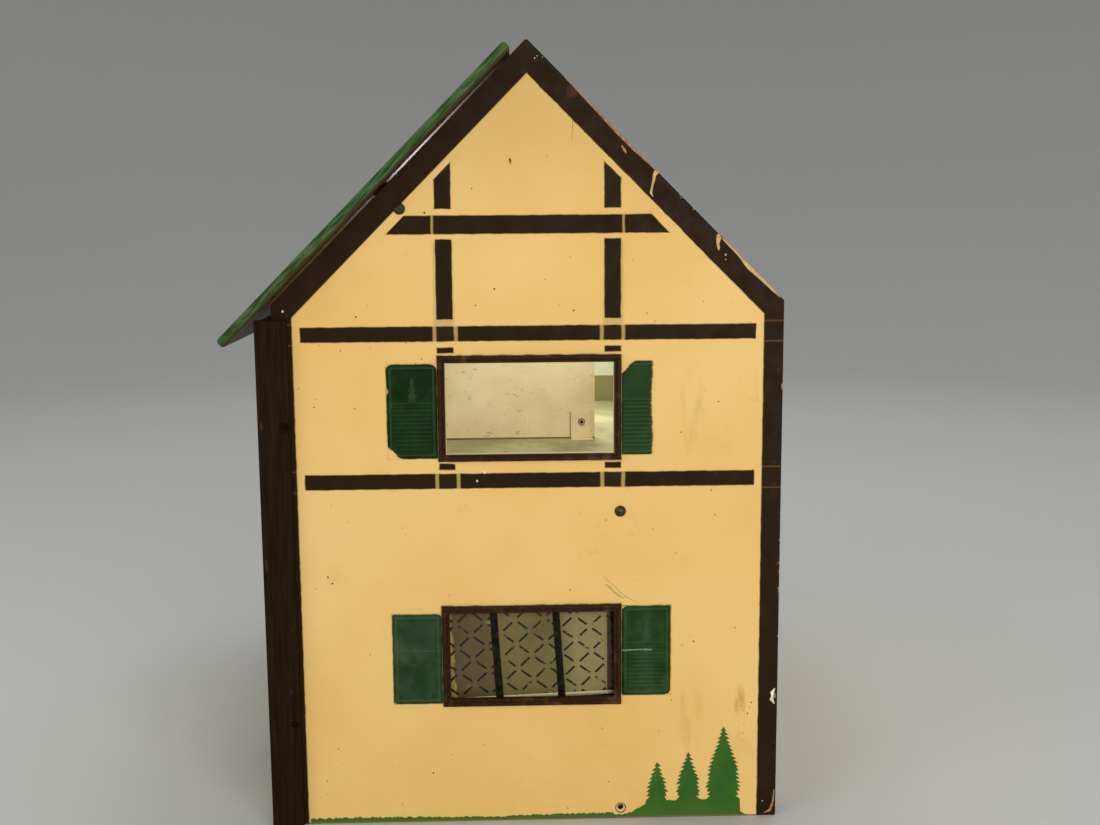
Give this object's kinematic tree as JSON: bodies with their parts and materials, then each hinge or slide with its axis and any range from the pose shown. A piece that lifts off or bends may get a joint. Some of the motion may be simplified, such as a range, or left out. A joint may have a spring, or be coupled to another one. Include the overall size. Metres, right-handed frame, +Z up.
{
  "type": "doll's house",
  "caption": "Small painted wooden doll's house with a gabled roof, hinged front leaves, entrance door, hinged front roof, shuttered windows and stencilled timbers.",
  "frame": {"origin": "under the middle of the whole outline, roof included, at the height of the base's underside", "axes": "+Z up; +X along the ridge towards the right-hand gable as seen by someone facing the facade; the facade faces -Y"},
  "size_m": [0.4314, 0.3346, 0.4769],
  "materials": {
    "cream_paint": "satin paint",
    "brown_paint": "satin paint",
    "green_paint": "brushed gloss paint",
    "green_card": "painted pressed card",
    "bare_wood": "bare",
    "khaki_paint": "flat paint",
    "blush_paint": "flat paint",
    "celluloid": "printed sheet",
    "steel": "dull",
    "brass": "lacquered"
  },
  "bodies": {
    "house": {"back_wall": "cream_paint", "base_board": "bare_wood", "bracket_screw": "steel", "corner_stile_left": "brown_paint", "corner_stile_right": "brown_paint", "eaves_fascia": "brown_paint", "floor_batten_left": "bare_wood", "floor_batten_right": "bare_wood", "floor_screw_left": "steel", "floor_screw_right": "steel", "front_purlin": "bare_wood", "gable_left": "cream_paint", "gable_left_lower_frame": "brown_paint", "gable_left_lower_lattice": "celluloid", "gable_left_lower_shutter_left": "green_card", "gable_left_lower_shutter_right": "green_card", "gable_left_upper_frame": "brown_paint", "gable_left_upper_shutter_left": "green_card", "gable_left_upper_shutter_right": "green_card", "gable_right": "cream_paint", "gable_right_lower_frame": "brown_paint", "gable_right_lower_lattice": "celluloid", "gable_right_lower_shutter_left": "green_card", "gable_right_lower_shutter_right": "green_card", "gable_right_upper_frame": "brown_paint", "gable_right_upper_shutter_left": "green_card", "gable_right_upper_shutter_right": "green_card", "leaf_hinge_left_fixed": "steel", "leaf_hinge_right_fixed": "steel", "lower_partition": "blush_paint", "partition_bracket": "steel", "purlin_screw_left": "steel", "purlin_screw_right": "steel", "ridge_bar": "bare_wood", "roof_back_panel": "green_paint", "roof_hinge_fixed": "steel", "turn_button_screw": "steel", "upper_floor": "khaki_paint", "upper_partition": "blush_paint"},
    "facade_right": {"facade_leaf_right": "cream_paint", "facade_right_upper_frame": "brown_paint", "facade_right_upper_shutter_left": "green_card", "facade_right_upper_shutter_right": "green_card", "leaf_hinge_right_moving": "steel", "leaf_knob_right": "brass"},
    "facade_left": {"facade_leaf_left": "cream_paint", "facade_left_lower_frame": "brown_paint", "facade_left_lower_lattice": "celluloid", "facade_left_lower_shutter_left": "green_card", "facade_left_lower_shutter_right": "green_card", "facade_left_upper_frame": "brown_paint", "facade_left_upper_shutter_left": "green_card", "facade_left_upper_shutter_right": "green_card", "leaf_hinge_left_moving": "steel", "leaf_knob_left": "brass"},
    "entrance": {"entrance_door": "green_paint", "entrance_door_knob": "brass"},
    "roof": {"front_roof": "green_paint", "roof_hinge_moving": "steel"},
    "button": {"turn_button": "brass"}
  },
  "joints": [
    {"name": "facade_right_hinge", "type": "hinge", "parent": "house", "child": "facade_right", "pos_m": [0.20145, -0.14621, 0.14475], "axis": [0, 0, 1], "range_deg": [0, 110]},
    {"name": "facade_left_hinge", "type": "hinge", "parent": "house", "child": "facade_left", "pos_m": [-0.20145, -0.14621, 0.14475], "axis": [0, 0, -1], "range_deg": [0, 110]},
    {"name": "entrance_door_hinge", "type": "hinge", "parent": "facade_right", "child": "entrance", "pos_m": [0.1286, -0.14221, 0.077], "axis": [0, 0, 1], "range_deg": [0, 95]},
    {"name": "roof_hinge", "type": "hinge", "parent": "house", "child": "roof", "pos_m": [0, 0.0068, 0.47149], "axis": [-1, 0, 0], "range_deg": [0, 85]},
    {"name": "button_turn", "type": "hinge", "parent": "house", "child": "button", "pos_m": [0, -0.1456, 0.2935], "axis": [0, -1, 0], "range_deg": [0, 90]}
  ]
}
